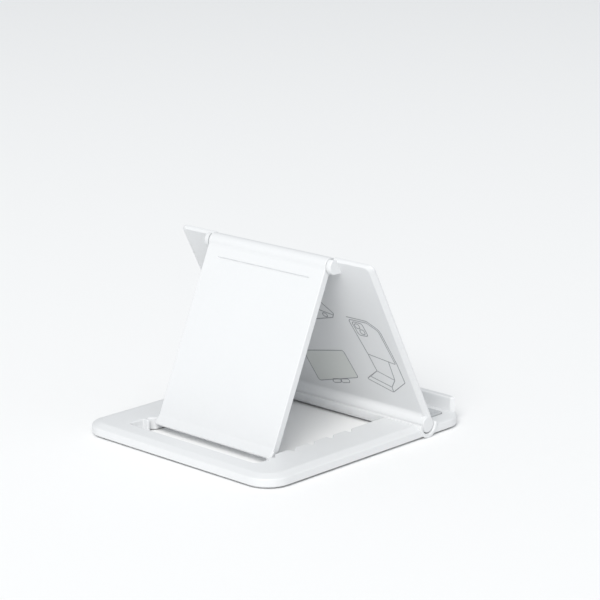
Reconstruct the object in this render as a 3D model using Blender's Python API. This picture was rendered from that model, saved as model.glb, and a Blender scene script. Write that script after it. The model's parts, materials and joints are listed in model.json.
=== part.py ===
"""Folding desk stand for a phone or a small tablet.

Three white mouldings fold on two hinges: a flat base frame, a support plate that snaps into a
cradle along the base, and a prop leg that hangs from the top of the plate and stands in the base's
opening.  Soft pads grip the device and the table.

Frame: metres, X along the hinge axes, +Y to the rear (the leg's side), +Z up.  The origin is on the
table, under the middle of the base.  The dimensions in Y are measured from the lower hinge axis,
which the base, and everything that stands on it, carries at HINGE_Y.
"""
import math

import bmesh
import bpy
from mathutils import Vector

MM = 0.001
GAP = 0.3 * MM                      # clearance between pieces that touch
SIDES = ((1, "left"), (-1, "right"))

# Lower hinge, between the plate and the base
AXIS_Z = 3.9 * MM
BARREL_R = 2.4 * MM
CRADLE_R = 3.5 * MM
CRADLE_BORE_R = BARREL_R + GAP
CRADLE_TIP_DEG = 8.5                # how far the cradle's two arms rise above the axis
END_RING_R = AXIS_Z                 # thicker ends of the cradle, which touch the table
END_RING_LENGTH = 2.6 * MM
END_RING_PROUD = 0.3 * MM           # how far they stand out of the base's sides

# Base frame
HALF_W = 38.4 * MM
REAR_Y = 66.8 * MM
FRONT_Y = -18.2 * MM
HINGE_Y = -0.5 * (REAR_Y + FRONT_Y)
CORNER_R = 8.0 * MM
BASE_TOP = 3.9 * MM
LIP_TOP = 3.3 * MM
RIM_TOP = 7.6 * MM
RIM_THICK = 2.2 * MM
RIM_FOOT = 2.0 * MM                 # where the rim starts, inside the lip
RIM_INSET = 0.1 * MM
CABLE_GAP_HALF = 8.0 * MM           # gap in the middle of the lip's rim
# Section of the outer edge from the bottom up, as inset and height: undercut, side wall, soft bevel
BASE_EDGE = ((0.5 * MM, 0.3 * MM), (0.12 * MM, 0.6 * MM), (0.0, 1.1 * MM), (0.0, 2.7 * MM),
             (0.4 * MM, 3.15 * MM), (2.7 * MM, BASE_TOP))

# Opening in the base, with ratchet notches along both sides
OPEN_HALF = 24.1 * MM
OPEN_REAR_Y = 59.0 * MM
BOSS_POCKET_HALF = 26.0 * MM
BOSS_POCKET_Y = 53.3 * MM
BOSS_POCKET_R = 1.5 * MM
NOTCH_COUNT = 5
NOTCH_LAST_Y = 52.2 * MM
NOTCH_PITCH = 7.95 * MM
NOTCH_DEPTH = 2.5 * MM
NOTCH_RUN = 2.7 * MM

# Support plate, in its own frame: +Y up the plate, +Z out of its front face
PLATE_LEAN_DEG = 62.6
PLATE_HALF = 38.3 * MM
PLATE_LENGTH = 57.5 * MM
PLATE_FRONT = 2.35 * MM
PLATE_BACK = 0.8 * MM
PLATE_CORNER_R = 1.6 * MM
# Section of the side edges from the back to the front, as inset and height: chamfer, side wall
PLATE_EDGE = ((1.4 * MM, PLATE_BACK), (0.0, 1.5 * MM), (0.0, PLATE_FRONT))
PIVOT_UP = 56.1 * MM                # upper hinge axis, measured up the plate
PIVOT_OUT = -0.1 * MM
BOSS_R = 2.4 * MM
BOSS_LENGTH = 1.6 * MM

# Prop leg, in its own frame: +Y down the leg, +Z out of its rear face
LEG_LEAN_DEG = 66.4
LEG_HALF = 23.4 * MM
LEG_SIDE_GAP = 0.35 * MM            # between the leg's barrel and the two bosses
LEG_LENGTH = 57.0 * MM
LEG_REAR = 1.95 * MM
LEG_INNER = -0.35 * MM
LEG_BARREL_R = 2.4 * MM
FOOT_HEEL = 0.8 * MM                # how far the foot's heel stands behind the leg's rear face
FOOT_HEIGHT = 3.2 * MM
FOOT_TIP = 0.4 * MM                 # chamfers of the foot's tip: the heel's, and then the toe's
FOOT_TOE = 1.4 * MM
EAR_LENGTH = 0.4 * MM
EAR_HEIGHT = 2.4 * MM
GROOVE_HALF = 18.2 * MM
GROOVE_DOWN = 4.9 * MM              # below the upper hinge axis
GROOVE_WIDTH = 0.4 * MM
GROOVE_DEPTH = 0.3 * MM
STUD_R = 0.9 * MM
STUD_LENGTH = 1.2 * MM

# Soft parts
FOOT_PAD_R = 3.5 * MM
FOOT_PAD_THICK = 1.0 * MM
FOOT_PAD_X = 31.5 * MM
FOOT_PAD_REAR_Y = 59.8 * MM
FOOT_PAD_FRONT_Y = -10.0 * MM
PAD_THICK = 0.9 * MM
PAD_POCKET = 0.6 * MM
LIP_PAD_X = 23.0 * MM
LIP_PAD_Y = -9.3 * MM
LIP_PAD_HALF_X = 10.0 * MM
LIP_PAD_HALF_Y = 4.0 * MM
LIP_PAD_R = 1.5 * MM
PLATE_PAD_HALF = 30.0 * MM
PLATE_PAD_LOW = 9.0 * MM
PLATE_PAD_HIGH = 46.0 * MM
PLATE_PAD_R = 3.0 * MM

ARC_STEP_DEG = 11.25
COARSE_STEP_DEG = 30
SMALL_STEP_DEG = 15
FAR = 100 * MM                      # beyond every piece, for cutters that run right through


def clear_scene():
    for old in list(bpy.data.objects):
        bpy.data.objects.remove(old, do_unlink=True)


def plastic(name, colour, roughness):
    material = bpy.data.materials.new(name)
    material.use_nodes = True
    shader = material.node_tree.nodes["Principled BSDF"]
    shader.inputs["Base Color"].default_value = (*colour, 1.0)
    shader.inputs["Roughness"].default_value = roughness
    shader.inputs["Metallic"].default_value = 0.0
    return material


def add_object(name, bm, material=None):
    bmesh.ops.recalc_face_normals(bm, faces=bm.faces)
    mesh = bpy.data.meshes.new(name)
    bm.to_mesh(mesh)
    bm.free()
    mesh.shade_smooth()
    mesh.set_sharp_from_angle(angle=math.radians(25))
    obj = bpy.data.objects.new(name, mesh)
    bpy.context.collection.objects.link(obj)
    if material:
        mesh.materials.append(material)
    return obj


def arc(centre, radius, start_deg, end_deg, step_deg=ARC_STEP_DEG):
    """Points on an arc, both ends included."""
    count = max(1, round(abs(end_deg - start_deg) / step_deg))
    angles = [math.radians(start_deg + (end_deg - start_deg) * i / count) for i in range(count + 1)]
    return [(centre[0] + radius * math.cos(a), centre[1] + radius * math.sin(a)) for a in angles]


def circle(centre, radius, step_deg=ARC_STEP_DEG):
    return arc(centre, radius, 0, 360, step_deg)[:-1]


def rounded_rectangle(half_x, y_low, y_high, radius, step_deg=ARC_STEP_DEG, centre_x=0.0):
    corners = ((half_x - radius, y_high - radius, 0), (radius - half_x, y_high - radius, 90),
               (radius - half_x, y_low + radius, 180), (half_x - radius, y_low + radius, 270))
    points = []
    for x, y, start in corners:
        points += arc((centre_x + x, y), radius, start, start + 90, step_deg)
    return points


def loft(name, loops, material=None):
    """A closed solid through equal loops of 3-D points, capped at both ends."""
    bm = bmesh.new()
    rings = [[bm.verts.new(point) for point in loop] for loop in loops]
    for lower, upper in zip(rings, rings[1:]):
        for i, vert in enumerate(lower):
            after = (i + 1) % len(lower)
            bm.faces.new((vert, lower[after], upper[after], upper[i]))
    bm.faces.new(rings[0])
    bm.faces.new(rings[-1])
    return add_object(name, bm, material)


def plan_prism(name, outline, z_low, z_high, material=None):
    """An outline in X and Y, extruded along Z."""
    return loft(name, [[(x, y, z) for x, y in outline] for z in (z_low, z_high)], material)


def bar(name, profile, x_start, x_end, material=None):
    """A profile in Y and Z, extruded along X."""
    return loft(name, [[(x, y, z) for y, z in profile] for x in (x_start, x_end)], material)


def box(name, low, high):
    x0, y0, z0 = low
    x1, y1, z1 = high
    return plan_prism(name, [(x0, y0), (x1, y0), (x1, y1), (x0, y1)], z0, z1)


def combine(target, tool, operation):
    """Cut the tool from the target, or weld it on, and hide the tool."""
    modifier = target.modifiers.new(tool.name, "BOOLEAN")
    modifier.operation = operation
    modifier.solver = "EXACT"
    modifier.object = tool
    tool.parent = target
    tool.hide_render = True
    tool.display_type = "WIRE"


def base_outline(inset):
    return rounded_rectangle(HALF_W - inset, FRONT_Y + inset, REAR_Y - inset, CORNER_R - inset)


def cradle_profile(outer_r):
    """The C-shaped trough that the plate's barrel snaps into, open at the top."""
    tip = CRADLE_TIP_DEG
    outer = arc((0, AXIS_Z), outer_r, 180 - tip, 360 + tip)
    inner = arc((0, AXIS_Z), CRADLE_BORE_R, 360 + tip, 180 - tip)
    return outer + inner


def opening_outline():
    """Half of the opening runs from the front to the rear along +X; the other half mirrors it."""
    side = [(OPEN_HALF, 0)]
    for k in range(NOTCH_COUNT):
        face_y = NOTCH_LAST_Y - (NOTCH_COUNT - 1 - k) * NOTCH_PITCH
        side += [(OPEN_HALF, face_y - NOTCH_RUN), (OPEN_HALF + NOTCH_DEPTH, face_y),
                 (OPEN_HALF, face_y)]
    side += [(OPEN_HALF, BOSS_POCKET_Y), (BOSS_POCKET_HALF, BOSS_POCKET_Y)]
    side += arc((BOSS_POCKET_HALF - BOSS_POCKET_R, OPEN_REAR_Y - BOSS_POCKET_R), BOSS_POCKET_R,
                0, 90, COARSE_STEP_DEG)
    return side + [(-x, y) for x, y in reversed(side)]


def make_base(material):
    loops = [[(x, y, z) for x, y in base_outline(inset)] for inset, z in BASE_EDGE]
    base = loft("base_frame", loops, material)
    base.location = (0, HINGE_Y, 0)

    combine(base, plan_prism("cut_opening", opening_outline(), 0, 2 * BASE_TOP), "DIFFERENCE")
    middle = 0.5 * (CRADLE_R + CRADLE_BORE_R)
    trough = arc((0, AXIS_Z), middle, 180, 360) + [(middle, FAR), (-middle, FAR)]
    combine(base, bar("cut_trough", trough, -FAR, FAR), "DIFFERENCE")
    combine(base, box("cut_lip_top", (-FAR, -FAR, LIP_TOP), (FAR, -middle, FAR)), "DIFFERENCE")

    cradle_half = HALF_W - RIM_INSET
    combine(base, bar("add_cradle", cradle_profile(CRADLE_R), -cradle_half, cradle_half), "UNION")
    for side, name in SIDES:
        end = side * (HALF_W + END_RING_PROUD)
        ring = bar("add_ring_" + name, cradle_profile(END_RING_R), end - side * END_RING_LENGTH, end)
        combine(base, ring, "UNION")
        rim = plan_prism("add_rim_" + name, rim_outline(side), RIM_FOOT, RIM_TOP)
        combine(base, rim, "UNION")

    for name, centre in foot_places().items():
        pocket = plan_prism("cut_" + name, circle(centre, FOOT_PAD_R + GAP), 0, FOOT_PAD_THICK + GAP)
        combine(base, pocket, "DIFFERENCE")
    for side, name in SIDES:
        pocket = plan_prism("cut_lip_pad_" + name, lip_pad_outline(side, GAP),
                            LIP_TOP - PAD_POCKET, FAR)
        combine(base, pocket, "DIFFERENCE")
    return base


def rim_outline(side):
    """One half of the raised front rim, following the lip's rounded corner."""
    corner = (HALF_W - CORNER_R, FRONT_Y + CORNER_R)
    outer = arc(corner, CORNER_R - RIM_INSET, 300, 270)
    end_x, end_y = outer[0]
    inner_y = FRONT_Y + RIM_INSET + RIM_THICK
    points = outer + [(CABLE_GAP_HALF, FRONT_Y + RIM_INSET), (CABLE_GAP_HALF, inner_y),
                      (end_x - 1.0 * MM, inner_y), (end_x + 0.1 * MM, end_y + 0.2 * MM)]
    return [(side * x, y) for x, y in points]


def lip_pad_outline(side, grow=0.0):
    return rounded_rectangle(LIP_PAD_HALF_X + grow, LIP_PAD_Y - LIP_PAD_HALF_Y - grow,
                             LIP_PAD_Y + LIP_PAD_HALF_Y + grow, LIP_PAD_R + grow, COARSE_STEP_DEG,
                             side * LIP_PAD_X)


def foot_places():
    return {f"foot_{row}_{name}": (side * FOOT_PAD_X, y)
            for row, y in (("rear", FOOT_PAD_REAR_Y), ("front", FOOT_PAD_FRONT_Y))
            for side, name in SIDES}


def make_feet(base, material):
    for name, centre in foot_places().items():
        plan_prism(name, circle(centre, FOOT_PAD_R), 0, FOOT_PAD_THICK, material).parent = base


def make_lip_pads(base, material):
    bottom = LIP_TOP - PAD_POCKET + GAP
    for side, name in SIDES:
        pad = plan_prism("lip_pad_" + name, lip_pad_outline(side), bottom, bottom + PAD_THICK,
                         material)
        pad.parent = base


def pivot_position():
    lean = math.radians(PLATE_LEAN_DEG)
    y = PIVOT_UP * math.cos(lean) - PIVOT_OUT * math.sin(lean)
    z = PIVOT_UP * math.sin(lean) + PIVOT_OUT * math.cos(lean)
    return Vector((0, HINGE_Y + y, AXIS_Z + z))


def sheet_outline(inset):
    """The plate's outline, with its lower end on the hinge axis."""
    half, top = PLATE_HALF - inset, PLATE_LENGTH - 0.3 * inset
    upper = arc((half - PLATE_CORNER_R, top - PLATE_CORNER_R), PLATE_CORNER_R, 0, 90,
                2 * ARC_STEP_DEG)
    return upper + [(-x, y) for x, y in reversed(upper)] + [(-half, 0), (half, 0)]


def make_plate(material):
    loops = [[(x, y, z) for x, y in sheet_outline(inset)] for inset, z in PLATE_EDGE]
    plate = loft("support_plate", loops, material)
    plate.location = (0, HINGE_Y, AXIS_Z)
    plate.rotation_euler = (math.radians(PLATE_LEAN_DEG), 0, 0)
    barrel = bar("add_barrel", circle((0, 0), BARREL_R), -PLATE_HALF, PLATE_HALF)
    combine(plate, barrel, "UNION")

    notch_half = LEG_HALF + LEG_SIDE_GAP
    notch_low = PIVOT_UP - LEG_BARREL_R - GAP
    combine(plate, box("cut_leg_notch", (-notch_half, notch_low, -FAR), (notch_half, FAR, FAR)),
            "DIFFERENCE")
    for side, name in SIDES:
        inner, outer = side * notch_half, side * (notch_half + BOSS_LENGTH)
        combine(plate, bar("add_boss_" + name, boss_profile(), inner, outer), "UNION")
        socket = circle((PIVOT_UP, PIVOT_OUT), STUD_R + GAP, SMALL_STEP_DEG)
        combine(plate, bar("cut_socket_" + name, socket, side * (LEG_HALF - MM),
                           side * (LEG_HALF + STUD_LENGTH + GAP)), "DIFFERENCE")

    combine(plate, plan_prism("cut_plate_pad", plate_pad_outline(GAP), PLATE_FRONT - PAD_POCKET,
                              FAR), "DIFFERENCE")
    return plate


def boss_profile():
    """A round lug that runs into the back of the plate, below the pivot."""
    sunk = PLATE_BACK + 0.5 * MM
    below, above = PIVOT_UP - 1.0 * MM - BOSS_R, PIVOT_UP + 0.5 * BOSS_R
    return [(below, sunk)] + arc((PIVOT_UP, PIVOT_OUT), BOSS_R, 225, 360) + [(above, sunk)]


def plate_pad_outline(grow=0.0):
    return rounded_rectangle(PLATE_PAD_HALF + grow, PLATE_PAD_LOW - grow, PLATE_PAD_HIGH + grow,
                             PLATE_PAD_R, COARSE_STEP_DEG)


def make_plate_pad(plate, material):
    bottom = PLATE_FRONT - PAD_POCKET + GAP
    pad = plan_prism("plate_pad", plate_pad_outline(), bottom, bottom + PAD_THICK, material)
    pad.parent = plate


def leg_profile():
    """The leg from the side: down its rear face to the foot, and back up inside."""
    heel = LEG_REAR + FOOT_HEEL
    return [(0, LEG_REAR), (LEG_LENGTH - FOOT_HEIGHT, LEG_REAR), (LEG_LENGTH - FOOT_TIP, heel),
            (LEG_LENGTH, heel - FOOT_TIP), (LEG_LENGTH, LEG_INNER + FOOT_TOE),
            (LEG_LENGTH - FOOT_HEIGHT, LEG_INNER), (0, LEG_INNER)]


def ear_profile():
    """The foot's side ears fill the heel's wedge, a little inside its faces."""
    heel, tip = LEG_REAR + FOOT_HEEL, LEG_LENGTH - 0.2 * MM
    return [(LEG_LENGTH - EAR_HEIGHT, LEG_REAR), (tip - FOOT_TIP, heel - 0.2 * MM),
            (tip, heel - FOOT_TIP - 0.2 * MM), (tip, LEG_INNER + FOOT_TOE + 0.2 * MM),
            (LEG_LENGTH - EAR_HEIGHT, LEG_INNER + FOOT_TOE)]


def make_leg(material):
    leg = bar("prop_leg", leg_profile(), -LEG_HALF, LEG_HALF, material)
    leg.location = pivot_position()
    leg.rotation_euler = (-math.radians(LEG_LEAN_DEG), 0, 0)

    barrel = bar("add_leg_barrel", circle((0, 0), LEG_BARREL_R), -LEG_HALF, LEG_HALF)
    combine(leg, barrel, "UNION")
    groove = box("cut_leg_groove", (-GROOVE_HALF, GROOVE_DOWN - 0.5 * GROOVE_WIDTH,
                                    LEG_REAR - GROOVE_DEPTH),
                 (GROOVE_HALF, GROOVE_DOWN + 0.5 * GROOVE_WIDTH, FAR))
    combine(leg, groove, "DIFFERENCE")
    for side, name in SIDES:
        inside = side * (LEG_HALF - MM)
        stud = bar("add_stud_" + name, circle((0, 0), STUD_R, SMALL_STEP_DEG), inside,
                   side * (LEG_HALF + STUD_LENGTH))
        combine(leg, stud, "UNION")
        ear = bar("add_ear_" + name, ear_profile(), inside, side * (LEG_HALF + EAR_LENGTH))
        combine(leg, ear, "UNION")
    return leg


def main():
    clear_scene()
    white = plastic("white_plastic", (0.80, 0.82, 0.83), 0.38)
    soft = plastic("clear_grey_silicone", (0.60, 0.62, 0.63), 0.6)
    base = make_base(white)
    make_feet(base, soft)
    make_lip_pads(base, soft)
    make_plate_pad(make_plate(white), soft)
    make_leg(white)


main()
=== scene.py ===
"""The looks of the folding desk stand.

The three white mouldings are built again with rounded edges, on the places and sizes that the frame
gives, and take the places of the plain solids.  The soft pads and feet follow, then the printed
drawings on the back of the plate, the floor, the lights and the camera.
"""

import json
import math

import bmesh
import bpy
from mathutils import Matrix, Vector


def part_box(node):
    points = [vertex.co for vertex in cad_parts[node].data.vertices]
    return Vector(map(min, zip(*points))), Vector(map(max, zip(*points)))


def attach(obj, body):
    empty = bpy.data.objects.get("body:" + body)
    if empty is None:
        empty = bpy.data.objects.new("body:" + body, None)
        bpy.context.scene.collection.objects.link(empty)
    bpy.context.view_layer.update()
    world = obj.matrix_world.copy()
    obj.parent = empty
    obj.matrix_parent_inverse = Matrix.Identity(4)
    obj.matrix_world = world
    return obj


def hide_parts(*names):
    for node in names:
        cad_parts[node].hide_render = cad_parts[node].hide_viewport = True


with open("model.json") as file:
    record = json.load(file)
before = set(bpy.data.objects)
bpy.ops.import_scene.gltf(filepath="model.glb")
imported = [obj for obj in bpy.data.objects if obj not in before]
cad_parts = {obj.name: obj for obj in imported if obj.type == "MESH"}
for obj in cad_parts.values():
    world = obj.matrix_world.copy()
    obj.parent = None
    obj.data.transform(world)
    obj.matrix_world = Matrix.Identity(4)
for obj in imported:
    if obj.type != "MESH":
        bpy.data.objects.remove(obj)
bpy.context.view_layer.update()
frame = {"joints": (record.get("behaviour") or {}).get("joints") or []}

MM = 0.001
SIDES = ((1, "left"), (-1, "right"))
FAR = 100 * MM                       # beyond every piece, for cutters that run right through
GAP = 0.3 * MM

# Places and sizes that the frame gives
joints = {joint["name"]: joint for joint in frame["joints"]}
HINGE = Vector(joints["plate_hinge"]["pos_m"])
PIVOT = Vector(joints["leg_hinge"]["pos_m"])
base_low, base_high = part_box("base_frame")
plate_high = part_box("support_plate")[1]

# Lower hinge
AXIS_Z = HINGE.z
BARREL_R = 2.4 * MM
CRADLE_R = 3.5 * MM
BORE_R = BARREL_R + GAP
CRADLE_TIP_DEG = 8.5
RING_R = AXIS_Z
RING_LENGTH = 2.6 * MM
RING_PROUD = 0.3 * MM

# Base, with Y measured from the lower hinge
HALF_W = base_high.x - RING_PROUD
REAR_Y = base_high.y - HINGE.y
FRONT_Y = base_low.y - HINGE.y
CORNER_R = 8.0 * MM
BASE_LOW = 0.3 * MM
PLINTH_INSET = 0.9 * MM              # the lowest edge is set in, so that a thin shadow runs round it
PLINTH_TOP = 0.65 * MM
WALL_TOP = 3.0 * MM
BEVEL_RUN = 2.7 * MM
BASE_TOP = AXIS_Z
LIP_TOP = BASE_TOP - 0.6 * MM
MOULD_EDGE = 0.35 * MM               # the usual rounding of an edge of the base
RIM_TOP = base_high.z
RIM_THICK = 2.2 * MM
RIM_INSET = 0.1 * MM
CABLE_GAP_HALF = 8.0 * MM

# Opening and its ratchet notches
OPEN_HALF = 24.1 * MM
OPEN_REAR_Y = 59.0 * MM
POCKET_HALF = 26.0 * MM
POCKET_Y = 53.3 * MM
NOTCH_COUNT = 5
NOTCH_LAST_Y = 52.2 * MM
NOTCH_PITCH = 7.95 * MM
NOTCH_DEPTH = 2.5 * MM
NOTCH_RUN = 2.7 * MM

# Support plate: X across, +Y up the plate, +Z out of its front
PLATE_LEAN_DEG = 62.6
PLATE_HALF = plate_high.x
PLATE_LENGTH = 57.5 * MM
PLATE_FRONT = 2.35 * MM
PLATE_BACK = 0.8 * MM
PLATE_CORNER_R = 1.6 * MM
SHEET_INSET = 0.03 * MM              # the sheet's sides stand this far inside the barrel's ends
ROOT_R = 1.2 * MM                    # the fillet between a barrel and a sheet
PIVOT_UP = 56.1 * MM
PIVOT_OUT = -0.1 * MM
BOSS_R = 2.4 * MM
BOSS_LENGTH = 1.6 * MM

# Prop leg: X across, +Y down the leg, +Z out of its rear face
LEG_LEAN_DEG = 66.4
LEG_HALF = 23.4 * MM
LEG_LENGTH = 57.0 * MM
LEG_REAR = 1.95 * MM
LEG_INNER = -0.35 * MM
LEG_SIDE_GAP = 0.35 * MM
LEG_ROOT_R = 3.0 * MM
FOOT_HEEL = 0.8 * MM
FOOT_HEIGHT = 3.2 * MM
FOOT_TOE = 1.4 * MM
EAR_LENGTH = 0.4 * MM
STUD_R = 0.9 * MM
STUD_LENGTH = 1.2 * MM
GROOVE_HALF = 18.2 * MM
GROOVE_DOWN = 4.9 * MM

# Pads and feet
PAD_POCKET = 0.6 * MM
PAD_THICK = 0.9 * MM
PAD_BODY = 0.7 * MM                  # the ribs stand up from here to the full thickness
RIB_R = 0.5 * MM
LIP_PAD_X = 23.0 * MM
LIP_PAD_HALF = 10.0 * MM
LIP_PAD_FRONT_Y = -13.3 * MM
LIP_PAD_REAR_Y = -5.3 * MM
PLATE_PAD_HALF = 30.0 * MM
PLATE_PAD_LOW = 9.0 * MM             # up the plate from the lower hinge
PLATE_PAD_HIGH = 46.0 * MM
FOOT_R = 3.5 * MM
FOOT_THICK = 1.0 * MM
FOOT_X = 31.5 * MM
FOOT_ROWS = (("rear", 59.8 * MM), ("front", -10.0 * MM))

# Printed drawings
LINE_WIDTH = 0.26 * MM
LINE_HEIGHT = 0.08 * MM
PRINT_PROUD = 0.02 * MM
PRINT_SUNK = 0.2 * MM

# Lights and camera
FILL_STRENGTH = 0.56
KEY_PLACE = (-1.9, 3.1, 3.4)
KEY_SIZE = 3.2
KEY_WATTS = 190.0
CAMERA_PLACE = Vector((-428.2, 442.8, 200.86)) * MM
CAMERA_LEVEL = (0.6867, -0.7269)     # which way it looks, seen from above
CAMERA_DOWN_DEG = 14.706
CAMERA_LENS = 131.36

BASE_PLACE = Matrix.Translation((0, HINGE.y, 0))
PLATE_PLACE = Matrix.Translation(HINGE) @ Matrix.Rotation(math.radians(PLATE_LEAN_DEG), 4, "X")
LEG_PLACE = Matrix.Translation(PIVOT) @ Matrix.Rotation(-math.radians(LEG_LEAN_DEG), 4, "X")


# ---------------------------------------------------------------- outlines

def arc(centre, radius, start_deg, end_deg, step_deg=6.0):
    count = max(2, math.ceil(abs(end_deg - start_deg) / step_deg))
    angles = [math.radians(start_deg + (end_deg - start_deg) * i / count) for i in range(count + 1)]
    return [(centre[0] + radius * math.cos(a), centre[1] + radius * math.sin(a)) for a in angles]


def circle(centre, radius, step_deg=6.0):
    return arc(centre, radius, 0, 360, step_deg)[:-1]


def rounded(corners, closed=True, step_deg=9.0):
    """An outline through corners (x, y, radius), each corner turned into an arc."""
    points = []
    for i, (x, y, radius) in enumerate(corners):
        if radius == 0 or (not closed and i in (0, len(corners) - 1)):
            points.append((x, y))
            continue
        here = Vector((x, y))
        before = (Vector(corners[i - 1][:2]) - here).normalized()
        after = (Vector(corners[(i + 1) % len(corners)][:2]) - here).normalized()
        turn = math.pi - before.angle(after)
        reach = radius * math.tan(turn / 2)
        start, end = here + before * reach, here + after * reach
        middle = here + (before + after).normalized() * radius / math.cos(turn / 2)
        count = max(2, math.ceil(math.degrees(turn) / step_deg))
        first, last = start - middle, end - middle
        sweep = first.angle_signed(last)
        for k in range(count + 1):
            spoke = first.copy()
            spoke.rotate(Matrix.Rotation(-sweep * k / count, 2))
            points.append(tuple(middle + spoke))
    return points


def rounded_box(half_x, low_y, high_y, radius, centre_x=0.0, step_deg=9.0):
    corners = [(centre_x + half_x, low_y, radius), (centre_x + half_x, high_y, radius),
               (centre_x - half_x, high_y, radius), (centre_x - half_x, low_y, radius)]
    return rounded(corners, step_deg=step_deg)


def grow(outline, distance):
    """The outline moved outwards by a distance, or inwards where it is negative."""
    count = len(outline)
    area = sum(outline[i - 1][0] * outline[i][1] - outline[i][0] * outline[i - 1][1]
               for i in range(count))
    turn = 1 if area > 0 else -1
    moved = []
    for i, point in enumerate(outline):
        here = Vector(point)
        before = (here - Vector(outline[i - 1])).normalized()
        after = (Vector(outline[(i + 1) % count]) - here).normalized()
        one, two = Vector((before.y, -before.x)), Vector((after.y, -after.x))
        moved.append(tuple(here + (one + two) * (turn * distance / (1 + one.dot(two)))))
    return moved


def barrel_root(radius, face, root_r, side):
    """The fillet from a barrel at the origin into a flat face that looks to +Z or -Z (side)."""
    inside = face - side * 0.4 * MM
    across = face + side * root_r
    along = math.sqrt((radius + root_r) ** 2 - across ** 2)
    curve = arc((along, across), root_r, -90 * side, math.degrees(math.atan2(-across, -along)), 9)
    return [(along, inside)] + curve + [(0.5 * curve[-1][0], inside)]


def levels(low, high, low_r, high_r, steps=4):
    """Insets and heights that round both ends of a prism; a cutter's negative radii flare it."""
    pairs = []
    for i in range(steps + 1):
        a = math.radians(90 * i / steps)
        pairs.append((low_r * (1 - math.sin(a)), low + abs(low_r) * (1 - math.cos(a))))
    for i in range(steps + 1):
        a = math.radians(90 * i / steps)
        pairs.append((high_r * (1 - math.cos(a)), high - abs(high_r) * (1 - math.sin(a))))
    return pairs


# ---------------------------------------------------------------- solids

def add_object(name, bm):
    bmesh.ops.remove_doubles(bm, verts=bm.verts, dist=1e-7)
    bmesh.ops.recalc_face_normals(bm, faces=bm.faces)
    mesh = bpy.data.meshes.new(name)
    bm.to_mesh(mesh)
    bm.free()
    obj = bpy.data.objects.new(name, mesh)
    bpy.context.scene.collection.objects.link(obj)
    return obj


def loft(name, loops):
    """A closed solid through equal loops of points, capped at both ends."""
    bm = bmesh.new()
    rings = [[bm.verts.new(point) for point in loop] for loop in loops]
    for lower, upper in zip(rings, rings[1:]):
        for i, vert in enumerate(lower):
            after = (i + 1) % len(lower)
            bm.faces.new((vert, lower[after], upper[after], upper[i]))
    bm.faces.new(rings[0])
    bm.faces.new(rings[-1])
    return add_object(name, bm)


def prism(name, outline, pairs):
    """An outline in X and Y, along Z."""
    return loft(name, [[(x, y, z) for x, y in grow(outline, -inset)] for inset, z in pairs])


def bar(name, profile, pairs):
    """A profile in Y and Z, along X."""
    return loft(name, [[(x, y, z) for y, z in grow(profile, -inset)] for inset, x in pairs])


def side_bar(name, profile, inner, outer, edge_r):
    """A bar from an inner place, left square, to an outer one, rounded, on either side."""
    side = 1 if outer > inner else -1
    pairs = [(inset, side * x) for inset, x in levels(abs(inner), abs(outer), 0, edge_r)[4:]]
    return bar(name, profile, pairs)


def combine(target, tool, operation):
    modifier = target.modifiers.new(tool.name, "BOOLEAN")
    modifier.operation = operation
    modifier.solver = "EXACT"
    modifier.object = tool
    tool.hide_render = True


def baked(obj):
    """The object's evaluated mesh, and its cutters and itself removed."""
    bpy.context.view_layer.update()
    evaluated = obj.evaluated_get(bpy.context.evaluated_depsgraph_get())
    mesh = bpy.data.meshes.new_from_object(evaluated)
    tools = [m.object for m in obj.modifiers if m.type == "BOOLEAN"]
    for used in (*tools, obj):
        bpy.data.objects.remove(used, do_unlink=True)
    return mesh


def finish_piece(obj, name, place, material, body, replaced=None, sharp_deg=32):
    """Turn the built object into a plain mesh in its place and parent it to its body's empty."""
    mesh = baked(obj)
    bm = bmesh.new()
    bm.from_mesh(mesh)
    bmesh.ops.remove_doubles(bm, verts=bm.verts, dist=2e-6)
    bmesh.ops.dissolve_degenerate(bm, edges=bm.edges, dist=2e-6)
    bmesh.ops.transform(bm, matrix=place, verts=bm.verts)
    bm.to_mesh(mesh)
    bm.free()
    mesh.materials.clear()
    mesh.materials.append(material)
    mesh.shade_smooth()
    mesh.set_sharp_from_angle(angle=math.radians(sharp_deg))
    piece = bpy.data.objects.new(name, mesh)
    bpy.context.scene.collection.objects.link(piece)
    flats = piece.modifiers.new("flat_faces_stay_flat", "WEIGHTED_NORMAL")
    flats.keep_sharp = True
    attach(piece, body)
    if replaced:
        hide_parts(replaced)
    return piece


# ---------------------------------------------------------------- materials

def new_group(name, inputs, outputs):
    group = bpy.data.node_groups.new(name, "ShaderNodeTree")
    for label, kind, value in inputs:
        socket = group.interface.new_socket(label, in_out="INPUT", socket_type=kind)
        socket.default_value = value
    for label, kind in outputs:
        group.interface.new_socket(label, in_out="OUTPUT", socket_type=kind)
    return group, group.nodes.new("NodeGroupInput"), group.nodes.new("NodeGroupOutput")


def math_node(tree, operation, first, second):
    node = tree.nodes.new("ShaderNodeMath")
    node.operation = operation
    for socket, value in zip(node.inputs, (first, second)):
        if isinstance(value, (int, float)):
            socket.default_value = value
        else:
            tree.links.new(value, socket)
    return node.outputs[0]


def noise(tree, coordinates, scale, detail, rough=0.5):
    node = tree.nodes.new("ShaderNodeTexNoise")
    tree.links.new(coordinates, node.inputs["Vector"])
    if isinstance(scale, (int, float)):
        node.inputs["Scale"].default_value = scale
    else:
        tree.links.new(scale, node.inputs["Scale"])
    node.inputs["Detail"].default_value = detail
    node.inputs["Roughness"].default_value = rough
    return node.outputs["Fac"]


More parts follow.
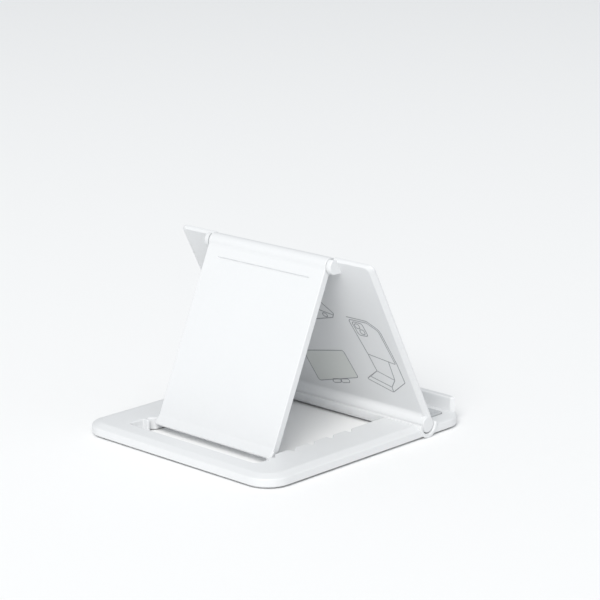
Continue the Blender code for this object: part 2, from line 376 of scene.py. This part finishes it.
def make_grain_group():
    """The fine spark-eroded grain that a steel mould leaves on plastic."""
    group, given, out = new_group(
        "mould_grain",
        (("Grain scale", "NodeSocketFloat", 4000.0), ("Depth", "NodeSocketFloat", 0.1),
         ("Roughness", "NodeSocketFloat", 0.4), ("Spread", "NodeSocketFloat", 0.1)),
        (("Normal", "NodeSocketVector"), ("Roughness", "NodeSocketFloat")))
    where = group.nodes.new("ShaderNodeTexCoord").outputs["Object"]
    fine = noise(group, where, given.outputs["Grain scale"], 3.0, 0.6)
    flow = noise(group, where, 90.0, 2.0)
    bump = group.nodes.new("ShaderNodeBump")
    bump.inputs["Distance"].default_value = 0.00006
    group.links.new(given.outputs["Depth"], bump.inputs["Strength"])
    group.links.new(fine, bump.inputs["Height"])
    group.links.new(bump.outputs["Normal"], out.inputs["Normal"])
    mixed = math_node(group, "ADD", math_node(group, "MULTIPLY", fine, 0.5),
                      math_node(group, "MULTIPLY", flow, 0.5))
    offset = math_node(group, "MULTIPLY", math_node(group, "SUBTRACT", mixed, 0.5),
                       given.outputs["Spread"])
    group.links.new(math_node(group, "ADD", given.outputs["Roughness"], offset),
                    out.inputs["Roughness"])
    return group


def make_tone_group():
    """Slow drifts of tone from the moulding, and a faint soiling from handling."""
    group, given, out = new_group(
        "tone_drift",
        (("Colour", "NodeSocketColor", (0.8, 0.8, 0.8, 1)), ("Soiling", "NodeSocketFloat", 0.04)),
        (("Colour", "NodeSocketColor"),))
    where = group.nodes.new("ShaderNodeTexCoord").outputs["Object"]
    drift = noise(group, where, 45.0, 2.0)
    specks = noise(group, where, 900.0, 4.0, 0.7)
    mask = math_node(group, "MULTIPLY", drift, specks)
    weight = math_node(group, "MULTIPLY", mask, given.outputs["Soiling"])
    mix = group.nodes.new("ShaderNodeMix")
    mix.data_type = "RGBA"
    mix.blend_type = "MULTIPLY"
    group.links.new(weight, mix.inputs["Factor"])
    group.links.new(given.outputs["Colour"], mix.inputs[6])
    mix.inputs[7].default_value = (0.45, 0.44, 0.42, 1)
    group.links.new(mix.outputs[2], out.inputs["Colour"])
    return group


GRAIN = make_grain_group()
TONE = make_tone_group()


def moulded(name, colour, roughness, grain_scale, depth, soiling, spread=0.12, specular=0.5,
            subsurface=0.0):
    material = bpy.data.materials.new(name)
    material.use_nodes = True
    tree = material.node_tree
    shader = tree.nodes["Principled BSDF"]
    shader.inputs["Specular IOR Level"].default_value = specular
    shader.inputs["Subsurface Weight"].default_value = subsurface
    shader.inputs["Subsurface Radius"].default_value = (1.0, 0.95, 0.9)
    shader.inputs["Subsurface Scale"].default_value = 0.6 * MM
    grain = tree.nodes.new("ShaderNodeGroup")
    grain.node_tree = GRAIN
    for label, value in (("Grain scale", grain_scale), ("Depth", depth),
                         ("Roughness", roughness), ("Spread", spread)):
        grain.inputs[label].default_value = value
    tone = tree.nodes.new("ShaderNodeGroup")
    tone.node_tree = TONE
    tone.inputs["Colour"].default_value = (*colour, 1)
    tone.inputs["Soiling"].default_value = soiling
    tree.links.new(grain.outputs["Normal"], shader.inputs["Normal"])
    tree.links.new(grain.outputs["Roughness"], shader.inputs["Roughness"])
    tree.links.new(tone.outputs["Colour"], shader.inputs["Base Color"])
    return material


# ---------------------------------------------------------------- base

def base_section():
    """The base's outer edge as inset and height: set-in foot, side wall, long soft bevel, top."""
    return rounded([(2.0 * MM, BASE_LOW, 0), (PLINTH_INSET, BASE_LOW, 0.1 * MM),
                    (PLINTH_INSET - 0.2 * MM, PLINTH_TOP, 0.1 * MM),
                    (0, PLINTH_TOP + 0.1 * MM, 0.25 * MM), (0, WALL_TOP, 0.5 * MM),
                    (BEVEL_RUN, BASE_TOP, 1.6 * MM), (4.4 * MM, BASE_TOP, 0)], closed=False)


def cradle_profile(outer_r):
    """The C-shaped trough, with rounded tips that end at the tip angle."""
    centre = Vector((0, AXIS_Z))
    middle, half = 0.5 * (outer_r + BORE_R), 0.5 * (outer_r - BORE_R)
    tip = CRADLE_TIP_DEG - math.degrees(math.asin(half / middle))

    def tip_centre(angle_deg):
        a = math.radians(angle_deg)
        return centre + middle * Vector((math.cos(a), math.sin(a)))

    return (arc(centre, outer_r, 180 - tip, 360 + tip)
            + arc(tip_centre(tip), half, tip, tip + 180, 20)[1:-1]
            + arc(centre, BORE_R, 360 + tip, 180 - tip)
            + arc(tip_centre(180 - tip), half, -tip, 180 - tip, 20)[1:-1])


def opening_outline():
    side = [(OPEN_HALF, 0, 0)]
    for k in range(NOTCH_COUNT):
        face_y = NOTCH_LAST_Y - (NOTCH_COUNT - 1 - k) * NOTCH_PITCH
        side += [(OPEN_HALF, face_y - NOTCH_RUN, 0.9 * MM),
                 (OPEN_HALF + NOTCH_DEPTH, face_y, 0.5 * MM), (OPEN_HALF, face_y, 0.5 * MM)]
    side += [(OPEN_HALF, POCKET_Y, 0.5 * MM), (POCKET_HALF, POCKET_Y, 0.4 * MM),
             (POCKET_HALF, OPEN_REAR_Y, 1.5 * MM)]
    return rounded(side + [(-x, y, r) for x, y, r in reversed(side)])


def rim_outline(side):
    """Half of the raised front rim, which follows the lip's rounded corner."""
    corner = (HALF_W - CORNER_R, FRONT_Y + CORNER_R)
    outer = arc(corner, CORNER_R - RIM_INSET, 300, 270)
    end_x, end_y = outer[0]
    inner_y = FRONT_Y + RIM_INSET + RIM_THICK
    gap_end = rounded([(end_x, FRONT_Y + RIM_INSET, 0),
                       (CABLE_GAP_HALF, FRONT_Y + RIM_INSET, 0.8 * MM),
                       (CABLE_GAP_HALF, inner_y, 0.8 * MM), (end_x - 1.0 * MM, inner_y, 0.6 * MM),
                       (end_x + 0.3 * MM, end_y + 0.5 * MM, 0)], closed=False)
    return [(side * x, y) for x, y in outer + gap_end[1:-1]]


def lip_pad_outline(side, spread=0.0):
    return rounded_box(LIP_PAD_HALF + spread, LIP_PAD_FRONT_Y - spread, LIP_PAD_REAR_Y + spread,
                       1.5 * MM + spread, side * LIP_PAD_X)


def foot_places():
    return {f"foot_{row}_{name}": (side * FOOT_X, y) for row, y in FOOT_ROWS
            for side, name in SIDES}


def make_base(material):
    outline = rounded_box(HALF_W, FRONT_Y, REAR_Y, CORNER_R, step_deg=3.0)
    base = loft("base", [[(x, y, z) for x, y in grow(outline, -inset)]
                         for inset, z in base_section()])
    flared = ([(-MOULD_EDGE, -FAR)] + levels(BASE_LOW, BASE_TOP, -MOULD_EDGE, -MOULD_EDGE)
              + [(-MOULD_EDGE, FAR)])
    combine(base, prism("cut_opening", opening_outline(), flared), "DIFFERENCE")
    middle = 0.5 * (CRADLE_R + BORE_R)
    trough = arc((0, AXIS_Z), middle, 180, 360) + [(middle, FAR), (-middle, FAR)]
    combine(base, bar("cut_trough", trough, ((0, -FAR), (0, FAR))), "DIFFERENCE")
    lip_cut = [(-FAR, LIP_TOP), (-middle, LIP_TOP), (-middle, FAR), (-FAR, FAR)]
    combine(base, bar("cut_lip_top", lip_cut, ((0, -FAR), (0, FAR))), "DIFFERENCE")

    cradle_half = HALF_W - RIM_INSET
    cradle = bar("add_cradle", cradle_profile(CRADLE_R), ((0, -cradle_half), (0, cradle_half)))
    combine(base, cradle, "UNION")
    for side, name in SIDES:
        end = side * (HALF_W + RING_PROUD)
        ring = side_bar("add_ring_" + name, cradle_profile(RING_R), end - side * RING_LENGTH, end,
                        MOULD_EDGE)
        combine(base, ring, "UNION")
        rim = prism("add_rim_" + name, rim_outline(side), levels(2.0 * MM, RIM_TOP, 0, 0.55 * MM))
        combine(base, rim, "UNION")
    for name, centre in foot_places().items():
        pocket = prism("cut_" + name, circle(centre, FOOT_R + GAP), ((0, 0), (0, FOOT_THICK + GAP)))
        combine(base, pocket, "DIFFERENCE")
    for side, name in SIDES:
        pocket = prism("cut_lip_pad_" + name, lip_pad_outline(side, GAP),
                       ((0, LIP_TOP - PAD_POCKET), (0, FAR)))
        combine(base, pocket, "DIFFERENCE")
    return finish_piece(base, "base_moulding", BASE_PLACE, material, "base",
                        "base_frame")


# ---------------------------------------------------------------- plate

def sheet_outline(inset):
    half, top = PLATE_HALF - SHEET_INSET - inset, PLATE_LENGTH - 0.3 * inset
    upper = arc((half - PLATE_CORNER_R, top - PLATE_CORNER_R), PLATE_CORNER_R, 0, 90)
    return upper + [(-x, y) for x, y in reversed(upper)] + [(-half, 0), (half, 0)]


def boss_profile():
    sunk = PLATE_BACK + 0.5 * MM
    below, above = PIVOT_UP - 1.0 * MM - BOSS_R, PIVOT_UP + 0.5 * BOSS_R
    return [(below, sunk)] + arc((PIVOT_UP, PIVOT_OUT), BOSS_R, 225, 360) + [(above, sunk)]


def plate_pad_outline(spread=0.0):
    return rounded_box(PLATE_PAD_HALF + spread, PLATE_PAD_LOW - spread, PLATE_PAD_HIGH + spread,
                       3.0 * MM)


def make_plate(material):
    section = rounded([(2.4 * MM, PLATE_BACK, 0), (1.4 * MM, PLATE_BACK, 0.5 * MM),
                       (0, 1.5 * MM, 0.3 * MM), (0, PLATE_FRONT, 0.35 * MM),
                       (0.8 * MM, PLATE_FRONT, 0)], closed=False)
    plate = loft("plate", [[(x, y, z) for x, y in sheet_outline(inset)] for inset, z in section])
    barrel = bar("add_barrel", circle((0, 0), BARREL_R),
                 levels(-PLATE_HALF, PLATE_HALF, 0.3 * MM, 0.3 * MM))
    combine(plate, barrel, "UNION")
    root_half = PLATE_HALF - 1.6 * MM
    root = bar("add_barrel_root", barrel_root(BARREL_R, PLATE_BACK, ROOT_R, -1),
               ((0, -root_half), (0, root_half)))
    combine(plate, root, "UNION")

    notch_half = LEG_HALF + LEG_SIDE_GAP
    notch_low = PIVOT_UP - BOSS_R - GAP
    notch = prism("cut_leg_notch", rounded_box(notch_half, notch_low, FAR, 0.6 * MM),
                  ((0, -FAR), (0, FAR)))
    combine(plate, notch, "DIFFERENCE")
    for side, name in SIDES:
        inner, outer = side * notch_half, side * (notch_half + BOSS_LENGTH)
        combine(plate, side_bar("add_boss_" + name, boss_profile(), inner, outer, 0.3 * MM),
                "UNION")
        socket = bar("cut_socket_" + name, circle((PIVOT_UP, PIVOT_OUT), STUD_R + GAP),
                     ((0, side * (LEG_HALF - MM)), (0, side * (LEG_HALF + STUD_LENGTH + GAP))))
        combine(plate, socket, "DIFFERENCE")
    pocket = prism("cut_plate_pad", plate_pad_outline(GAP), ((0, PLATE_FRONT - PAD_POCKET), (0, FAR)))
    combine(plate, pocket, "DIFFERENCE")
    return finish_piece(plate, "plate_moulding", PLATE_PLACE, material, "plate",
                        "support_plate")


# ---------------------------------------------------------------- leg

def leg_profile():
    heel = LEG_REAR + FOOT_HEEL
    return rounded([(0, LEG_REAR, 0), (LEG_LENGTH - FOOT_HEIGHT, LEG_REAR, 2.0 * MM),
                    (LEG_LENGTH - 0.3 * MM, heel, 0.3 * MM), (LEG_LENGTH, heel - 0.5 * MM, 0.3 * MM),
                    (LEG_LENGTH, LEG_INNER + FOOT_TOE, 0.4 * MM),
                    (LEG_LENGTH - FOOT_HEIGHT, LEG_INNER, 2.0 * MM), (0, LEG_INNER, 0)])


def ear_profile():
    heel, tip = LEG_REAR + FOOT_HEEL - 0.2 * MM, LEG_LENGTH - 0.2 * MM
    return rounded([(LEG_LENGTH - 2.4 * MM, LEG_REAR, 0.1 * MM), (tip - 0.4 * MM, heel, 0.2 * MM),
                    (tip, heel - 0.4 * MM, 0.2 * MM), (tip, LEG_INNER + FOOT_TOE, 0.2 * MM),
                    (LEG_LENGTH - 2.4 * MM, LEG_INNER + FOOT_TOE, 0.1 * MM)])


def make_leg(material):
    edge = 0.25 * MM
    leg = bar("leg", leg_profile(), levels(-LEG_HALF, LEG_HALF, edge, edge))
    barrel = bar("add_leg_barrel", circle((0, 0), BOSS_R), levels(-LEG_HALF, LEG_HALF, edge, edge))
    combine(leg, barrel, "UNION")
    root_half = LEG_HALF - edge
    for face, root_r, side in ((LEG_REAR, LEG_ROOT_R, 1), (LEG_INNER, ROOT_R, -1)):
        root = bar("add_leg_root", barrel_root(BOSS_R, face, root_r, side),
                   ((0, -root_half), (0, root_half)))
        combine(leg, root, "UNION")
    groove = prism("cut_leg_groove", rounded_box(GROOVE_HALF, GROOVE_DOWN - 0.2 * MM,
                                                 GROOVE_DOWN + 0.2 * MM, 0.19 * MM),
                   [(0, LEG_REAR - 0.3 * MM), (0, LEG_REAR - 0.1 * MM), (-0.1 * MM, LEG_REAR),
                    (-0.1 * MM, FAR)])
    combine(leg, groove, "DIFFERENCE")
    for side, name in SIDES:
        inside = side * (LEG_HALF - MM)
        stud = side_bar("add_stud_" + name, circle((0, 0), STUD_R, 12), inside,
                        side * (LEG_HALF + STUD_LENGTH), 0.15 * MM)
        combine(leg, stud, "UNION")
        ear = side_bar("add_ear_" + name, ear_profile(), inside,
                       side * (LEG_HALF + EAR_LENGTH), 0.15 * MM)
        combine(leg, ear, "UNION")
    return finish_piece(leg, "leg_moulding", LEG_PLACE, material, "leg",
                        "prop_leg")


# ---------------------------------------------------------------- soft pads and feet

def make_rib_tree():
    """Round ribs along X, one behind the other along Y."""
    tree = bpy.data.node_groups.new("grip_ribs", "GeometryNodeTree")
    for label, kind in (("Count", "NodeSocketInt"), ("Pitch", "NodeSocketFloat"),
                        ("Half length", "NodeSocketFloat"), ("Rib radius", "NodeSocketFloat")):
        tree.interface.new_socket(label, in_out="INPUT", socket_type=kind)
    tree.interface.new_socket("Ribs", in_out="OUTPUT", socket_type="NodeSocketGeometry")
    nodes, links = tree.nodes, tree.links
    given, out = nodes.new("NodeGroupInput"), nodes.new("NodeGroupOutput")
    step = nodes.new("ShaderNodeCombineXYZ")
    links.new(given.outputs["Pitch"], step.inputs["Y"])
    line = nodes.new("GeometryNodeMeshLine")
    links.new(given.outputs["Count"], line.inputs["Count"])
    links.new(step.outputs[0], line.inputs["Offset"])
    ends = []
    for sign in (-1, 1):
        end = nodes.new("ShaderNodeCombineXYZ")
        links.new(math_node(tree, "MULTIPLY", given.outputs["Half length"], sign), end.inputs["X"])
        ends.append(end.outputs[0])
    spine = nodes.new("GeometryNodeCurvePrimitiveLine")
    links.new(ends[0], spine.inputs["Start"])
    links.new(ends[1], spine.inputs["End"])
    ring = nodes.new("GeometryNodeCurvePrimitiveCircle")
    ring.inputs["Resolution"].default_value = 20
    links.new(given.outputs["Rib radius"], ring.inputs["Radius"])
    rib = nodes.new("GeometryNodeCurveToMesh")
    rib.inputs["Fill Caps"].default_value = True
    links.new(spine.outputs[0], rib.inputs["Curve"])
    links.new(ring.outputs[0], rib.inputs["Profile Curve"])
    many = nodes.new("GeometryNodeInstanceOnPoints")
    links.new(line.outputs[0], many.inputs["Points"])
    links.new(rib.outputs[0], many.inputs["Instance"])
    real = nodes.new("GeometryNodeRealizeInstances")
    links.new(many.outputs[0], real.inputs[0])
    finish = nodes.new("GeometryNodeSetMaterial")
    links.new(real.outputs[0], finish.inputs["Geometry"])
    links.new(finish.outputs[0], out.inputs["Ribs"])
    return tree


def node_modifier(obj, tree, values):
    """Put a Geometry Nodes tree on an object and set its named inputs by their identifiers."""
    modifier = obj.modifiers.new(tree.name, "NODES")
    modifier.node_group = tree
    names = {item.name: item.identifier for item in tree.interface.items_tree
             if item.in_out == "INPUT"}
    for label, value in values.items():
        modifier[names[label]] = value


RIBS = make_rib_tree()


def make_pad(name, outline, bottom, first_y, count, pitch, half_length, centre_x, place, material,
             body, replaced):
    """A soft pad with a flat body and round ribs that stand up to its full thickness."""
    tree = RIBS
    tree.nodes["Set Material"].inputs["Material"].default_value = material
    pad = prism(name, outline, levels(bottom, bottom + PAD_BODY, 0.1 * MM, 0.25 * MM))
    host = bpy.data.objects.new("ribs_" + name, bpy.data.meshes.new("ribs_" + name))
    bpy.context.scene.collection.objects.link(host)
    node_modifier(host, tree, {"Count": count, "Pitch": pitch, "Half length": half_length,
                               "Rib radius": RIB_R})
    mesh = baked(host)
    mesh.transform(Matrix.Translation((centre_x, first_y, bottom + PAD_THICK - RIB_R)))
    ribs = bpy.data.objects.new("add_ribs_" + name, mesh)
    bpy.context.scene.collection.objects.link(ribs)
    combine(pad, ribs, "UNION")
    return finish_piece(pad, name, place, material, body, replaced)


def make_pads(material):
    lip_bottom = LIP_TOP - PAD_POCKET + GAP
    for side, name in SIDES:
        make_pad("lip_grip_" + name, lip_pad_outline(side), lip_bottom, -12.3 * MM, 5, 1.5 * MM,
                 8.6 * MM, side * LIP_PAD_X, BASE_PLACE, material, "base", "lip_pad_" + name)
    make_pad("plate_grip", plate_pad_outline(), PLATE_FRONT - PAD_POCKET + GAP, 11.5 * MM, 9,
             4.0 * MM, 27.5 * MM, 0, PLATE_PLACE, material, "plate", "plate_pad")


def make_feet(material):
    """Round feet: a soft lower edge and a shallow ring in the sole."""
    ring = 0.12 * MM
    section = ([(0.6 * MM, ring), (1.5 * MM, ring), (1.65 * MM, 0), (1.9 * MM, 0), (2.2 * MM, 0)]
               + arc((FOOT_R - 0.4 * MM, 0.4 * MM), 0.4 * MM, 270, 360, 15)
               + arc((FOOT_R - 0.1 * MM, FOOT_THICK - 0.1 * MM), 0.1 * MM, 0, 90, 45))
    for name, (x, y) in foot_places().items():
        loops = [[(px, py, z) for px, py in circle((x, y), r, 7.5)] for r, z in section]
        foot = loft(name + "_rough", loops)
        finish_piece(foot, name + "_rubber", BASE_PLACE, material, "base", name)


# ---------------------------------------------------------------- printed drawings

def make_line_tree():
    """A flat printed line that follows a curve."""
    tree = bpy.data.node_groups.new("printed_line", "GeometryNodeTree")
    tree.interface.new_socket("Curve", in_out="INPUT", socket_type="NodeSocketGeometry")
    for label in ("Line width", "Line height"):
        tree.interface.new_socket(label, in_out="INPUT", socket_type="NodeSocketFloat")
    tree.interface.new_socket("Lines", in_out="OUTPUT", socket_type="NodeSocketGeometry")
    nodes, links = tree.nodes, tree.links
    given, out = nodes.new("NodeGroupInput"), nodes.new("NodeGroupOutput")
    section = nodes.new("GeometryNodeCurvePrimitiveQuadrilateral")
    links.new(given.outputs["Line width"], section.inputs["Width"])
    links.new(given.outputs["Line height"], section.inputs["Height"])
    sweep = nodes.new("GeometryNodeCurveToMesh")
    sweep.inputs["Fill Caps"].default_value = True
    links.new(given.outputs["Curve"], sweep.inputs["Curve"])
    links.new(section.outputs[0], sweep.inputs["Profile Curve"])
    real = nodes.new("GeometryNodeRealizeInstances")
    links.new(sweep.outputs[0], real.inputs[0])
    finish = nodes.new("GeometryNodeSetMaterial")
    links.new(real.outputs[0], finish.inputs["Geometry"])
    links.new(finish.outputs[0], out.inputs["Lines"])
    return tree


def tablet_lines():
    """A tablet lying on the two stops of a stand."""
    screen = [(5.0, 17.2, 0.8), (-13.0, 21.5, 0.8), (-15.0, 11.5, 0.8), (3.1, 5.7, 0.8)]
    stops = [[(x, y, 0.5), (x - 3.6, y + 0.9, 0.5), (x - 3.0, y - 0.7, 0.5), (x + 0.6, y - 1.6, 0.5)]
             for x, y in ((-3.4, 8.0), (-7.2, 8.9))]
    return [(screen, True)] + [(stop, True) for stop in stops]


def phone_lines():
    """A phone that leans in an open stand, over the open base."""
    body = [(-20.6, 35.3, 0.8), (-27.7, 35.4, 1.0), (-31.3, 33.2, 2.0), (-33.3, 21.2, 0.3),
            (-23.3, 22.7, 0.3)]
    side = [(-20.2, 36.1, 0), (-27.9, 36.1, 1.0), (-31.9, 33.6, 2.4), (-33.9, 21.4, 0)]
    block = [(-21.6, 34.7, 0.8), (-25.6, 34.6, 0.8), (-26.4, 30.0, 0.8), (-22.7, 29.8, 0.8)]
    lens = [[(x + 0.9, y + 0.9, 0.6), (x - 0.8, y + 0.8, 0.6), (x - 0.9, y - 0.9, 0.6),
             (x + 0.8, y - 0.8, 0.6)] for x, y in ((-23.3, 33.2), (-24.6, 31.3))]
    holder = [(-23.3, 22.7, 0), (-24.3, 16.5, 0.3), (-30.4, 14.4, 0.3), (-30.7, 21.5, 0)]
    outer = [(-33.9, 21.4, 0), (-34.3, 14.4, 0.6), (-27.9, 9.2, 0.6), (-18.9, 12.2, 0.3),
             (-24.3, 16.5, 0)]
    inner = [(-22.9, 15.4, 0), (-20.6, 13.5, 0.2), (-28.1, 11.2, 0.3), (-30.4, 14.4, 0)]
    depth = [(-28.1, 11.2, 0), (-28.0, 9.5, 0)]
    return [(loop, True) for loop in [body, block] + lens] + [
        (line, False) for line in (side, holder, outer, inner, depth)]


def folding_lines():
    """The stand seen from its side, half open."""
    wedge = [(-6.4, 44.6, 0), (-15.3, 36.1, 0.3), (-14.3, 34.4, 0.4), (-4.4, 31.5, 0)]
    foot = [(-7.4, 36.6, 0), (-14.7, 35.5, 0)]
    pivot = [(-10.4, 35.6, 0.6), (-12.2, 35.3, 0.6), (-12.4, 33.9, 0.6), (-10.6, 34.2, 0.6)]
    return [(wedge, False), (foot, False), (pivot, True)]


def make_drawing(material, tint):
    curve = bpy.data.curves.new("drawing_path", "CURVE")
    curve.dimensions = "3D"
    for corners, closed in tablet_lines() + phone_lines() + folding_lines():
        points = rounded([(x * MM, y * MM, r * MM) for x, y, r in corners], closed, 30)
        spline = curve.splines.new("POLY")
        spline.points.add(len(points) - 1)
        for target, (x, y) in zip(spline.points, points):
            target.co = (x, y, PLATE_BACK, 1)
        spline.use_cyclic_u = closed
    path = bpy.data.objects.new("drawing_path", curve)
    bpy.context.scene.collection.objects.link(path)
    tree = make_line_tree()
    tree.nodes["Set Material"].inputs["Material"].default_value = material
    node_modifier(path, tree, {"Line width": LINE_WIDTH, "Line height": LINE_HEIGHT})
    mesh = baked(path)
    lines = bpy.data.objects.new("drawing_rough", mesh)
    bpy.context.scene.collection.objects.link(lines)
    finish_piece(lines, "plate_drawing", PLATE_PLACE, material, "plate")

    corners, _ = tablet_lines()[0]
    screen = prism("tint_rough", rounded([(x * MM, y * MM, r * MM) for x, y, r in corners]),
                   ((0, PLATE_BACK - PRINT_PROUD), (0, PLATE_BACK + PRINT_SUNK)))
    finish_piece(screen, "drawing_tint", PLATE_PLACE, tint, "plate")


# ---------------------------------------------------------------- stage

def add_light(name, place, target, size, power, colour):
    data = bpy.data.lights.new(name, "AREA")
    data.shape = "DISK"
    data.size = size
    data.energy = power
    data.color = colour
    light = bpy.data.objects.new(name, data)
    light.location = place
    light.rotation_euler = (Vector(target) - Vector(place)).to_track_quat("-Z", "Y").to_euler()
    bpy.context.scene.collection.objects.link(light)


def make_stage():
    material = bpy.data.materials.new("pale_floor")
    material.use_nodes = True
    shader = material.node_tree.nodes["Principled BSDF"]
    shader.inputs["Base Color"].default_value = (0.95, 0.95, 0.95, 1)
    shader.inputs["Roughness"].default_value = 0.9
    shader.inputs["Specular IOR Level"].default_value = 0.1
    bm = bmesh.new()
    bmesh.ops.create_grid(bm, x_segments=1, y_segments=1, size=6.0)
    floor = add_object("floor", bm)
    floor.data.materials.append(material)

    world = bpy.data.worlds.new("soft_white")
    world.use_nodes = True
    background = world.node_tree.nodes["Background"]
    background.inputs["Color"].default_value = (0.93, 0.965, 1.0, 1)
    background.inputs["Strength"].default_value = FILL_STRENGTH
    bpy.context.scene.world = world
    add_light("key", KEY_PLACE, (0, 0, 0.02), KEY_SIZE, KEY_WATTS, (1.0, 0.99, 0.97))


def make_camera():
    down = math.radians(CAMERA_DOWN_DEG)
    ahead = [part * math.cos(down) for part in CAMERA_LEVEL]
    forward = Vector((*ahead, -math.sin(down)))
    data = bpy.data.cameras.new("camera")
    data.lens = CAMERA_LENS
    data.clip_start, data.clip_end = 0.01, 20
    camera = bpy.data.objects.new("camera", data)
    camera.location = CAMERA_PLACE
    camera.rotation_euler = forward.to_track_quat("-Z", "Y").to_euler()
    bpy.context.scene.collection.objects.link(camera)
    bpy.context.scene.camera = camera


# ---------------------------------------------------------------- the whole stand

white = moulded("white_moulded_plastic", (0.77, 0.78, 0.79), 0.42, 5000.0, 0.12, 0.10)
silicone = moulded("grey_silicone", (0.56, 0.575, 0.59), 0.62, 2500.0, 0.3, 0.25, subsurface=0.15)
rubber = moulded("grey_rubber", (0.38, 0.39, 0.4), 0.7, 2000.0, 0.5, 0.3)
ink = moulded("grey_line_ink", (0.3, 0.31, 0.33), 0.5, 6000.0, 0.2, 0.5)
tint = moulded("pale_print_tint", (0.7, 0.72, 0.7), 0.5, 6000.0, 0.1, 0.1)

make_base(white)
make_plate(white)
make_leg(white)
make_pads(silicone)
make_feet(rubber)
make_drawing(ink, tint)
make_stage()
make_camera()
bpy.context.scene.view_settings.view_transform = "Standard"
